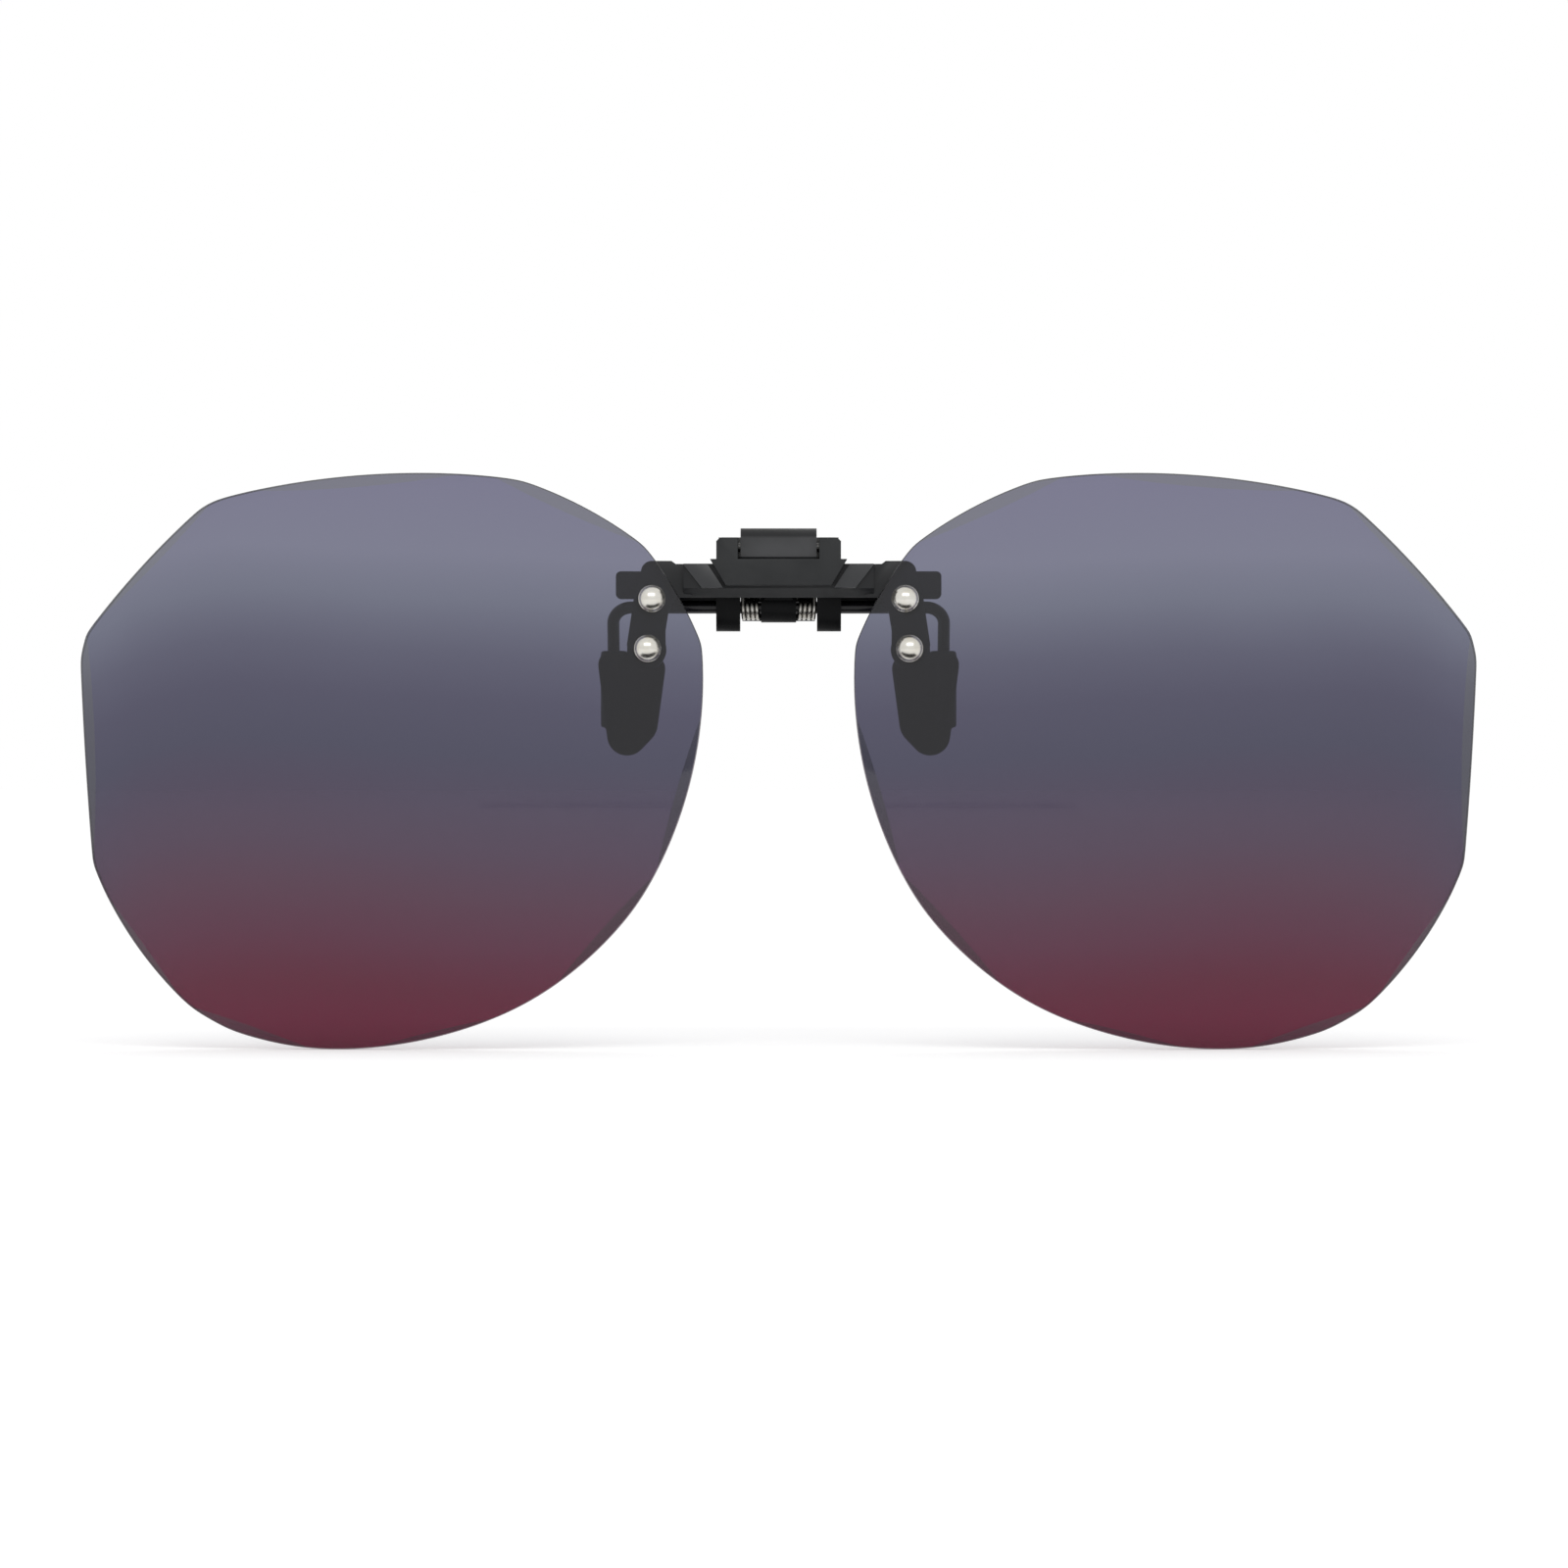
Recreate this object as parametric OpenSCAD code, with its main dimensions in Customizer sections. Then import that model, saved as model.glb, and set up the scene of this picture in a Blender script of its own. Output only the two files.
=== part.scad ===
// Clip-on flip-up sunglasses. The origin is the middle of the clamp's pivot.
// +X is to the right as seen from the front, +Y points to the wearer, +Z is up.

/* [Lenses] */
// Distance between the centres of the two lenses
lens_spacing = 77.5; // [77:0.5:79]
// Height of the clamp's pivot above the lens centres
lens_drop = 15.1; // [14.8:0.1:15.4]
// Thickness of each lens
lens_t = 1.8; // [1.6:0.1:1.8]
// Radius of the lens front
lens_curve_r = 175; // [165:5:200]
// How far in from the middle the front curve of each lens is centred
wrap = 8.75; // [7:0.25:9]
// Angle of the ground facets to the lens front
facet_tilt = 30; // [20:1:35]

/* [Bridge and rivets] */
// Thickness of the arms behind the lenses
arm_t = 1.0; // [0.8:0.1:1]
// Radius of a rivet's head
head_r = 1.35; // [1.2:0.05:1.4]
// Height of a rivet's head
head_h = 0.9; // [0.7:0.1:1]
// Radius of a rivet's shank
shank_r = 0.7; // [0.6:0.05:0.8]

/* [Flip hinge] */
// Height of the flip pin above the clamp's pivot
flip_z = 5.97; // [5.95:0.01:6]
// Radius of the flip pin
flip_pin_r = 0.45; // [0.4:0.05:0.5]
// Radius of the centre knuckle
knuckle_r = 1.9; // [1.8:0.05:1.9]

/* [Clamp] */
// Radius of the jaw wire
wire_r = 0.62; // [0.55:0.01:0.65]
// Distance from the middle to each leg of the jaw wire
leg_x = 16.6; // [16.4:0.1:17]
// Angle at which the legs run back before they turn down
leg_tilt = 30; // [28:1:32]
// Angle at which the pinch lever leans back at rest
lever_lean = 17; // [17:1:22]
// Length of the pinch lever
lever_len = 7.2; // [6:0.2:7.4]
// Turns in each half of the torsion spring, without the part turn at its end
spring_turns = 3; // [2:1:3]
// Radius of the spring's wire
spring_r = 0.2; // [0.15:0.01:0.2]

/* [Hidden] */
$fn = 96;
play = 0.05;                 // running clearance on a radius
bite = 0.2;                  // how far joined shapes run into each other
through = 12;                // length of a tool that cuts right through
left = -1;
right = 1;

// Lens: the outline is where round sides overlap, each [direction, distance, radius]
// seen from the lens centre, with 0 away from the nose and 90 up.
lens_x = lens_spacing / 2;
lens_front_y = -6.58;
lens_depth = 12;
lens_sides = [
    [-4, 30.6, 400], [46, 31.3, 78], [87, 28.4, 77], [89, 29.8, 41], [148, 33, 38],
    [216, 28.7, 42], [238, 28, 36], [248, 28, 43], [296, 31.6, 68], [333, 31.6, 36]
];
// Ground facets, each [direction, width at its middle]
facets = [
    [-1, 1.1], [43, 0.9], [85, 1.2], [117, 1.1], [194, 0.9],
    [221, 1.1], [257, 0.6], [291, 0.7], [324, 0.7]
];
facet_block = [20, 6, 60];
curve_x = lens_x - wrap;
curve_y = lens_front_y + lens_curve_r;
curve_z = -lens_drop;

// Bridge, arms and rivets
arm_gap = 0.03;
rivet_upper = [12.75, 0.65];
rivet_lower = [13.16, -4.29];
arm_eye_r = 1.95;
arm_corner_r = 1.1;
bar_back = -1.95;
bar_front = -3.3;
bar_top = 4.3;
bar_bevel_z = 1.85;
bar_bottom = 0.93;
bar_half = 9.5;
shoulder_front = -3.95;
shoulder_low = 1.9;
shoulder_top = 4.2;
shoulder_tilt = 6;
notch_half = 4.2;
notch_z = 3.72;
seat_half = 5;
seat_z = 2.2;
washer_r = 1.35;
washer_t = 0.25;
tail_r = 1.0;
tail_h = 0.4;
washer_gap = 0.02;
stack_t = lens_t + arm_gap + arm_t + washer_gap;

// Hinge cover
flip_y = -2.05;
cover_front = -4.5;
cover_back = -3.67;
cover_top = 4.74;
cover_bottom = 2.1;
cover_half_top = 6.85;
cover_half_bottom = 5.28;
lug_in = 4.05;
lug_out = 6.2;
lug_r = 0.95;
lug_rise = 0.92;
lug_round = 0.6;
knuckle_half = 3.8;
knuckle_flat = 1.62;
pin_inset = 0.1;

// Clamp body
body_front = -1.75;
body_back = -0.15;
body_half = 6.25;
body_low = 1.4;
wing_front = -0.8;
wing_low = 4.5;
wing_top = 6.7;
ear_in = 3.85;
ear_half_y = 1.7;
ear_drop = 0.7;
ear_top = 2.3;
barrel_half = 1.75;
barrel_room = 1.9;           // half width of the space over the lever's barrel
barrel_gap = 0.12;
barrel_r = 1.5;
leaf_y = [-1.05, -0.85];
leaf_z = [5.0, 7.0];
leaf_half = 6.0;
leaf_gap = [-0.02, 0.02];
groove_x = [3.3, ear_in];
groove_gap = 0.08;
stub_y = [-0.9, 0.3];
stub_z = [1.35, 3.05];
stub_end = 16.0;
root_end = 12.5;             // up to here the stubs reach down round the back of the wire
root_back = 0.9;
root_z = 0.7;
sleeve_x = [13.3, 16.3];
sleeve_y = [-1.3, 0.8];
sleeve_z = [0.85, 3.6];
sleeve_round = 0.5;

// Jaw wire and rear pads
bend_r = 1.8;
turn_r = 1.5;
jaw_y = 2.2;
slope_len = (jaw_y - bend_r * sin(leg_tilt) - turn_r * (1 - cos(leg_tilt))) / sin(leg_tilt);
leg_top = -(bend_r + slope_len) * cos(leg_tilt) - turn_r * sin(leg_tilt);
leg_bottom = -11.5;
leg_overlap = 0.6;
leg_slack = 0.01;            // the bent legs stay this much inside the straight rod
leg_sides = 16;
turn_steps = 4;
pad_y = [1.15, 3.05];
pad_sleeve_r = 1.3;
pad_top = -4.3;
sleeve_bottom = -12;
// Circles whose hull is the pad's outline: [x, z, radius]
pad_rounds = [[16.75, -5.7, 1.4], [12.85, -6.1, 1.45], [14.4, -11.6, 2.25], [15.25, -12.85, 2.0]];

// Pinch lever, in its own leaning frame: v points back and u up along it
lever_half = 3.4;
neck_half = 1.7;
nose_half = 1.4;
plate_v = [1.4, 2.45];
plate_low = 0.45;
rib_r = 0.28;
rib_first = 3.4;
rib_gap = 0.95;
rib_count = 4;
hood_half = 3.65;
hood_r = [1.45, 1.95];
hood_span = [72, 116];       // from the lever's direction, round the back of the coils

// Torsion spring: two coils on the jaw wire, joined by a loop that pushes the lever
coil_r = 1.1;
coil_out = 3.6;
coil_in = 1.98;
coil_start = 270;
coil_end = 90 + lever_lean;
coil_steps = 16;
spring_sides = 8;
spring_leg = 4.2;
loop_u = 3.2;
loop_round = 0.5;

// Children are drawn for the right side and mirrored for the left
module on_side(side) {
    if (side < 0)
        mirror([1, 0, 0]) children();
    else
        children();
}

// A flat shape, drawn in X and Z, given depth from y0 to y1
module slab(y0, y1) {
    translate([0, y1, 0]) rotate([90, 0, 0]) linear_extrude(y1 - y0) children();
}

// A section, drawn in Y and Z, run from x0 to x1
module along_x(x0, x1) {
    translate([x0, 0, 0]) rotate([90, 0, 90]) linear_extrude(x1 - x0) children();
}

module block(x, y, z) {
    translate([x[0], y[0], z[0]]) cube([x[1] - x[0], y[1] - y[0], z[1] - z[0]]);
}

module x_rod(r, x0, x1) {
    translate([x0, 0, 0]) rotate([0, 90, 0]) cylinder(r = r, h = x1 - x0);
}

// A spherical cap of radius r and height h that stands out along -Y from y = 0
module cap(r, h) {
    ball_r = (r * r + h * h) / (2 * h);
    intersection() {
        translate([0, ball_r - h, 0]) sphere(r = ball_r);
        block([-r, r] * 1.1, [-h * 1.1, 0], [-r, r] * 1.1);
    }
}

function unit(v) = v / norm(v);
function along(p, i) = unit(p[min(i + 1, len(p) - 1)] - p[max(i - 1, 0)]);
// Side directions carried along the path, so that the tube doesn't twist
function carried(p, i, last) =
    let (t = along(p, i), s = unit(last - t * (last * t)))
    i == len(p) - 1 ? [s] : concat([s], carried(p, i + 1, s));

// A round wire along a path; first_side is any direction across its start
module tube(path, first_side, r, sides) {
    n = len(path);
    across = carried(path, 0, first_side);
    points = [
        for (i = [0 : n - 1], k = [0 : sides - 1])
            path[i] + r * (cos(360 * k / sides) * across[i]
                + sin(360 * k / sides) * cross(along(path, i), across[i]))
    ];
    faces = concat(
        [[for (k = [0 : sides - 1]) k]],
        [for (i = [0 : n - 2], k = [0 : sides - 1])
            let (a = i * sides + k, b = i * sides + (k + 1) % sides)
            [a, a + sides, b + sides, b]],
        [[for (k = [sides - 1 : -1 : 0]) (n - 1) * sides + k]]
    );
    polyhedron(points, faces);
}

// --- Lenses ---

// Distance from the lens centre to one round side, in direction a
function side_reach(s, a) =
    let (c = s[1] - s[2], across = c * sin(a - s[0]), far = s[2] * s[2] - across * across)
    far > 0 ? c * cos(a - s[0]) + sqrt(far) : 2 * s[2];

function reach(a) = min([for (s = lens_sides) side_reach(s, a)]);

module lens_outline() {
    intersection_for (s = lens_sides)
        translate((s[1] - s[2]) * [cos(s[0]), sin(s[0])]) circle(r = s[2], $fn = 256);
}

module curve_ball(depth) {
    translate([curve_x, curve_y, curve_z]) sphere(r = lens_curve_r - depth, $fn = 256);
}

// Everything between two depths behind the lens front
module curved_layer(depth, thickness) {
    intersection() {
        slab(lens_front_y - 1, lens_front_y + lens_depth) children();
        difference() {
            curve_ball(depth);
            curve_ball(depth + thickness);
        }
    }
}

// Moves its children to the lens front at x, z, with -Y square to the glass
module on_front(x, z) {
    up = -asin((z - curve_z) / lens_curve_r);
    round = asin((x - curve_x) / (lens_curve_r * cos(up)));
    translate([curve_x, curve_y, curve_z])
        rotate([0, 0, round])
            rotate([up, 0, 0])
                translate([0, -lens_curve_r, 0]) children();
}

module facet_cut(f) {
    d = reach(f[0]) - f[1];
    on_front(lens_x + d * cos(f[0]), curve_z + d * sin(f[0]))
        rotate([0, -f[0], 0])
            rotate([0, 0, facet_tilt])
                translate([-facet_block[0] / 4, -facet_block[1], -facet_block[2] / 2])
                    cube(facet_block);
}

module rivet_hole(at) {
    on_front(at[0], at[1]) rotate([90, 0, 0]) cylinder(r = shank_r, h = through, center = true);
}

module lens(side) {
    color([0.36, 0.36, 0.42, 0.85])
        on_side(side)
            difference() {
                curved_layer(0, lens_t) translate([lens_x, curve_z]) lens_outline();
                for (f = facets) facet_cut(f);
                rivet_hole(rivet_upper);
                rivet_hole(rivet_lower);
            }
}

module lens_left() { lens(left); }
module lens_right() { lens(right); }

// --- Bridge ---

module arm_outline() {
    translate(rivet_lower) circle(r = arm_eye_r);
    translate([12.65, 3.5]) circle(r = arm_corner_r);
    polygon([
        [8.6, 0.93], [8.6, 4.3], [10.3, 4.3], [10.7, 4.6], [12.65, 4.6], [13.75, 3.5],
        [14.45, 0.9], [15.15, -3.9], [13.2, -5], [11.28, -4.2], [11.3, -2.4], [11.0, -0.5],
        [10.55, 0.45], [9.8, 0.93]
    ]);
}

// Raised block beside the hinge cover, with its front leaning back a little
module shoulder() {
    height = shoulder_top - shoulder_low;
    translate([0, shoulder_front, shoulder_low]) rotate([-shoulder_tilt, 0, 0])
        slab(0, bar_front - shoulder_front + bite)
            polygon([[7.05, height], [9.5, height], [7.7, 0], [5.55, 0]]);
}

module bridge_half() {
    difference() {
        curved_layer(lens_t + arm_gap, arm_t) arm_outline();
        rivet_hole(rivet_upper);
        rivet_hole(rivet_lower);
    }
    shoulder();
}

module bridge() {
    color([0.17, 0.17, 0.18]) {
        difference() {
            along_x(-bar_half, bar_half)
                polygon([
                    [bar_front, bar_top], [bar_front, bar_bevel_z], [bar_back - 0.4, bar_bottom],
                    [bar_back, bar_bottom], [bar_back, bar_top]
                ]);
            block([-notch_half, notch_half], [bar_front - 1, 0], [notch_z, bar_top + 1]);
        }
        // Seat that the hinge cover is stuck to
        block([-seat_half, seat_half], [cover_back, bar_front + bite], [seat_z, notch_z]);
        bridge_half();
        mirror([1, 0, 0]) bridge_half();
    }
}

// --- Hinge cover ---

module lug_outline() {
    top = flip_z + lug_rise;
    polygon([
        [lug_in, top], [lug_out - lug_round, top], [lug_out, top - lug_round],
        [lug_out, cover_top - bite], [lug_in, cover_top - bite]
    ]);
    translate([lug_out - lug_round, top - lug_round]) circle(r = lug_round);
}

module lug_section() {
    difference() {
        union() {
            translate([flip_y, flip_z]) circle(r = lug_r);
            polygon([
                [cover_front, cover_top - bite], [cover_front, flip_z + lug_rise],
                [flip_y, flip_z + lug_rise], [flip_y, flip_z - lug_r],
                [cover_back, cover_top - bite]
            ]);
        }
        translate([flip_y, flip_z]) circle(r = flip_pin_r + play);
    }
}

module lug(side) {
    on_side(side)
        intersection() {
            along_x(lug_in - 1, lug_out + 1) lug_section();
            slab(cover_front - 1, flip_y + 2) lug_outline();
        }
}

module hinge_cover() {
    color([0.2, 0.2, 0.21]) {
        slab(cover_front, cover_back)
            polygon([
                [-cover_half_top, cover_top], [cover_half_top, cover_top],
                [cover_half_bottom, cover_bottom], [-cover_half_bottom, cover_bottom]
            ]);
        lug(left);
        lug(right);
    }
}

// --- Rivets and washers ---

module rivet(at, side) {
    color([0.82, 0.81, 0.78])
        on_side(side)
            on_front(at[0], at[1]) {
                cap(head_r, head_h);
                rotate([-90, 0, 0]) cylinder(r = shank_r, h = stack_t + washer_t);
                translate([0, stack_t + washer_t, 0]) mirror([0, 1, 0]) cap(tail_r, tail_h);
            }
}

module washer(at, side) {
    color([0.75, 0.75, 0.73])
        on_side(side)
            on_front(at[0], at[1])
                translate([0, stack_t, 0])
                    rotate([-90, 0, 0])
                        difference() {
                            cylinder(r = washer_r, h = washer_t);
                            translate([0, 0, -1]) cylinder(r = shank_r, h = washer_t + 2);
                        }
}

module rivet_upper_left() { rivet(rivet_upper, left); }
module rivet_lower_left() { rivet(rivet_lower, left); }
module rivet_upper_right() { rivet(rivet_upper, right); }
module rivet_lower_right() { rivet(rivet_lower, right); }
module washer_upper_left() { washer(rivet_upper, left); }
module washer_lower_left() { washer(rivet_lower, left); }
module washer_upper_right() { washer(rivet_upper, right); }
module washer_lower_right() { washer(rivet_lower, right); }

// --- Clamp body ---

module knuckle_section() {
    intersection() {
        translate([flip_y, flip_z]) circle(r = knuckle_r);
        translate([flip_y - knuckle_flat, 0]) square(through);
    }
}

module ear_section() {
    translate([0, -ear_drop]) circle(r = ear_half_y);
    translate([-ear_half_y, -ear_drop]) square([2 * ear_half_y, ear_top + ear_drop]);
}

module root_section() {
    polygon([
        [stub_y[0], stub_z[0] + bite], [stub_y[0], root_z], [0, wire_r - play], [0, 0],
        [root_back, 0], [root_back, stub_z[0] + bite]
    ]);
}

module clamp_half() {
    // Wing behind the cover's lug, plate under it, ear for the wire and stub for the pad
    block([knuckle_half - bite, body_half], [wing_front, body_back], [wing_low - bite, wing_top]);
    along_x(ear_in, body_half) ear_section();
    block([body_half - bite, stub_end], stub_y, stub_z);
    along_x(body_half - bite, root_end) root_section();
}

module clamp_body() {
    color([0.12, 0.12, 0.13])
        difference() {
            union() {
                along_x(-knuckle_half, knuckle_half) knuckle_section();
                block([-knuckle_half, knuckle_half], [body_front, body_back], [wing_low, flip_z]);
                block([-body_half, body_half], [body_front, body_back], [body_low, wing_low]);
                clamp_half();
                mirror([1, 0, 0]) clamp_half();
            }
            // Room over the lever's barrel
            block([-barrel_room, barrel_room], [body_front - bite, 0], [0, barrel_r + barrel_gap]);
            // Bores for the jaw wire and the flip pin
            x_rod(wire_r + play, -root_end - bite, root_end + bite);
            translate([0, flip_y, flip_z]) x_rod(flip_pin_r, -through, through);
            // Slot for the detent spring
            block([-body_half - bite, body_half + bite], leaf_y + leaf_gap, leaf_z + leaf_gap);
            // Grooves for the torsion spring's legs
            for (side = [left, right])
                on_side(side)
                    block(
                        groove_x, [-coil_r - spring_r - groove_gap, 0],
                        [body_low - bite, spring_leg + bite]
                    );
        }
}

module flip_pin() {
    color([0.7, 0.7, 0.7])
        translate([0, flip_y, flip_z]) x_rod(flip_pin_r, pin_inset - lug_out, lug_out - pin_inset);
}

module detent_spring() {
    color([0.7, 0.7, 0.72]) block([-leaf_half, leaf_half], leaf_y, leaf_z);
}

module sleeve_outline() {
    w = sleeve_x[1] - sleeve_x[0] - 2 * sleeve_round;
    h = sleeve_z[1] - sleeve_z[0] - 2 * sleeve_round;
    translate([sleeve_x[0] + sleeve_round, sleeve_z[0] + sleeve_round]) {
        for (x = [0, w], z = [0, h]) translate([x, z]) circle(r = sleeve_round);
        translate([-sleeve_round, 0]) square([w + 2 * sleeve_round, h]);
        translate([0, -sleeve_round]) square([w, h + 2 * sleeve_round]);
    }
}

module front_pad(side) {
    color([0.2, 0.2, 0.21])
        on_side(side)
            difference() {
                slab(sleeve_y[0], sleeve_y[1]) sleeve_outline();
                block([sleeve_x[0] - bite, stub_end], stub_y, stub_z);
            }
}

module front_pad_left() { front_pad(left); }
module front_pad_right() { front_pad(right); }

// --- Rear jaw ---

// Points along the right leg, from inside the straight stretch down into the pad
leg_path = concat(
    [[leg_x - bend_r - leg_overlap, 0, 0]],
    [for (a = [0 : 15 : 90]) [
        leg_x - bend_r + bend_r * sin(a),
        bend_r * (1 - cos(a)) * sin(leg_tilt),
        -bend_r * (1 - cos(a)) * cos(leg_tilt)
    ]],
    [for (i = [turn_steps : -1 : 0])
        let (a = leg_tilt * i / turn_steps)
        [leg_x, jaw_y - turn_r + turn_r * cos(a), leg_top + turn_r * sin(a)]],
    [[leg_x, jaw_y, leg_bottom]]
);

module jaw_wire() {
    color([0.1, 0.1, 0.1]) {
        x_rod(wire_r, bend_r - leg_x, leg_x - bend_r);
        for (side = [left, right])
            on_side(side) tube(leg_path, [0, 1, 0], wire_r - leg_slack, leg_sides);
    }
}

// The lever's section, in its own frame, with ribs on the back
module plate_section() {
    translate([plate_v[0], plate_low]) square([plate_v[1] - plate_v[0], lever_len - plate_low]);
    translate([(plate_v[0] + plate_v[1]) / 2, lever_len]) circle(r = (plate_v[1] - plate_v[0]) / 2);
    for (i = [0 : rib_count - 1])
        translate([plate_v[1], rib_first + i * rib_gap]) circle(r = rib_r);
}

module neck_section() {
    polygon([[0, 0.6], [0.8, -0.9], [plate_v[1], 0.9], [plate_v[1], 1.4], [plate_v[0], 1.4]]);
}

// Shell round the back of the spring's coils
module hood_section() {
    far = 2 * hood_r[1];
    middle = (hood_span[0] + hood_span[1]) / 2;
    intersection() {
        difference() {
            circle(r = hood_r[1]);
            circle(r = hood_r[0]);
        }
        polygon([
            [0, 0], far * [sin(hood_span[0]), cos(hood_span[0])],
            far * [sin(middle), cos(middle)], far * [sin(hood_span[1]), cos(hood_span[1])]
        ]);
    }
}

// Nose that stops the jaw against the body
module nose_section() {
    polygon([[0, 0.5], [-0.3, 1.56], [-1.14, 1.56], [-1.45, 1.1], [-1.2, 0.3]]);
}

module pinch_lever() {
    color([0.11, 0.11, 0.12])
        difference() {
            union() {
                x_rod(barrel_r, -barrel_half, barrel_half);
                along_x(-nose_half, nose_half) nose_section();
                rotate([-lever_lean, 0, 0]) {
                    along_x(-lever_half, lever_half) plate_section();
                    along_x(-neck_half, neck_half) neck_section();
                    along_x(-hood_half, hood_half) hood_section();
                }
            }
            x_rod(wire_r, -through, through);
        }
}

module rear_pad(side) {
    color([0.22, 0.22, 0.23])
        on_side(side)
            difference() {
                union() {
                    slab(pad_y[0], pad_y[1])
                        hull()
                            for (c = pad_rounds) translate([c[0], c[1]]) circle(r = c[2], $fn = 48);
                    translate([leg_x, jaw_y, sleeve_bottom])
                        cylinder(r = pad_sleeve_r, h = pad_top - sleeve_bottom);
                }
                translate([leg_x, jaw_y, leg_bottom]) cylinder(r = wire_r, h = -leg_bottom);
            }
}

module rear_pad_left() { rear_pad(left); }
module rear_pad_right() { rear_pad(right); }

// --- Torsion spring ---

// Points along the left half, from the leg's top end to the middle of the loop
spring_span = coil_start + 360 * spring_turns - coil_end;
spring_ring = ceil(spring_span / 360 * coil_steps);
function coil_point(i) =
    let (a = coil_start - spring_span * i / spring_ring)
    [-coil_out + (coil_out - coil_in) * i / spring_ring, coil_r * sin(a), coil_r * cos(a)];
function lean(x, v, u) =
    [x, v * cos(lever_lean) + u * sin(lever_lean), u * cos(lever_lean) - v * sin(lever_lean)];
half_spring = concat(
    [for (z = [spring_leg, spring_leg / 2]) [-coil_out, -coil_r, z]],
    [for (i = [0 : spring_ring]) coil_point(i)],
    [for (a = [0 : 22.5 : 90])
        lean(-coil_in + loop_round * (1 - cos(a)), coil_r, loop_u + loop_round * sin(a))]
);
half_count = len(half_spring);
spring_path = concat(
    half_spring,
    [for (i = [half_count - 1 : -1 : 0])
        [-half_spring[i][0], half_spring[i][1], half_spring[i][2]]]
);

module torsion_spring() {
    color([0.8, 0.8, 0.78]) tube(spring_path, [1, 0, 0], spring_r, spring_sides);
}

lens_left();
lens_right();
bridge();
hinge_cover();
rivet_upper_left();
rivet_lower_left();
rivet_upper_right();
rivet_lower_right();
washer_upper_left();
washer_lower_left();
washer_upper_right();
washer_lower_right();
clamp_body();
flip_pin();
detent_spring();
front_pad_left();
front_pad_right();
jaw_wire();
pinch_lever();
rear_pad_left();
rear_pad_right();
torsion_spring();
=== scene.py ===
# Clip-on flip-up sunglasses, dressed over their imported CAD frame.
# Everything is in the CAD frame: +X right, +Y to the wearer, +Z up. Shapes are
# worked out in mm and turned into metres when a mesh is made.
import math

import bmesh
import bpy
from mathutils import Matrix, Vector


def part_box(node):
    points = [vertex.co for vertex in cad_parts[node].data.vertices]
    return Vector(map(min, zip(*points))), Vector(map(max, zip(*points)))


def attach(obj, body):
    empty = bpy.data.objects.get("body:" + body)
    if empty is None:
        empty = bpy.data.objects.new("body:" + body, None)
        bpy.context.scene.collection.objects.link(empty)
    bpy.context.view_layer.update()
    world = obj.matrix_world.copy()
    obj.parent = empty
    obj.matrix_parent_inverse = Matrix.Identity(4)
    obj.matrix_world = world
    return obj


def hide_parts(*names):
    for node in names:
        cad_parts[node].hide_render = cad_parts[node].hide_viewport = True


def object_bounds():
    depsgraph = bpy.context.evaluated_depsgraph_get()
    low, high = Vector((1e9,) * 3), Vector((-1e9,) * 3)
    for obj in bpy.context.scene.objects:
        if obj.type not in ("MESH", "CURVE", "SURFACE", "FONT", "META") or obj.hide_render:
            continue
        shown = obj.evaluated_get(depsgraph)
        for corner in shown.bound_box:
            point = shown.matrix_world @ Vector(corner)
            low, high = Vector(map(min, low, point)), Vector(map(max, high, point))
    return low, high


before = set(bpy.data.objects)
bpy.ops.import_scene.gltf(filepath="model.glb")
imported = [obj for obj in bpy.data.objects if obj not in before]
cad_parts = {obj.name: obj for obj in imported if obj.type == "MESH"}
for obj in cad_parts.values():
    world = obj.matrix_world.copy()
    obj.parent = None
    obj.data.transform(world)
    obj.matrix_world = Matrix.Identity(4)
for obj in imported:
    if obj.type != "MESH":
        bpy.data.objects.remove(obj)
CAD_LOW, CAD_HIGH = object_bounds()
MM = 0.001
SIDES = {"left": -1, "right": 1}

# --- Sizes that part.scad also uses, in mm and degrees ---

# Lens outline: where round sides overlap, each (direction, distance, radius)
# seen from the lens centre, with 0 away from the nose and 90 up.
LENS_SIDES = [
    (-4, 30.6, 400), (46, 31.3, 78), (87, 28.4, 77), (89, 29.8, 41), (148, 33, 38),
    (216, 28.7, 42), (238, 28, 36), (248, 28, 43), (296, 31.6, 68), (333, 31.6, 36),
]
# Ground facets, each (direction, width at its middle)
FACETS = [
    (-1, 1.1), (43, 0.9), (85, 1.2), (117, 1.1), (194, 0.9),
    (221, 1.1), (257, 0.6), (291, 0.7), (324, 0.7),
]
FACET_TILT = 30
LENS_T = 1.8
LENS_CURVE_R = 175
WRAP = 8.75
# Jaw wire: its radius, its two bends, and where and how steeply its legs run back
WIRE_R = 0.62
BEND_R = 1.8
TURN_R = 1.5
LEG_X = 16.6
LEG_TILT = 30
# Torsion spring: its coils on the jaw wire, and its loop, which leans with the pinch lever
LEVER_LEAN = 17
COIL_R = 1.1
COIL_IN = 1.98
COIL_OUT = 3.6
SPRING_R = 0.2
SPRING_TURNS = 3
SPRING_LEG = 4.2
LOOP_U = 3.2
LOOP_ROUND = 0.5
# Rivets: domed head in front, shank, and the closed end behind the washer
HEAD_R = 1.35
HEAD_H = 0.9
TAIL_R = 1.0
TAIL_H = 0.4
SHANK_R = 0.7

# --- Mesh helpers ---


def cosd(a):
    return math.cos(math.radians(a))


def sind(a):
    return math.sin(math.radians(a))


def turns(count):
    """Directions evenly round a circle, in degrees."""
    return [360 * k / count for k in range(count)]


def box_mm(node):
    low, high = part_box(node)
    return low / MM, high / MM


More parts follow.
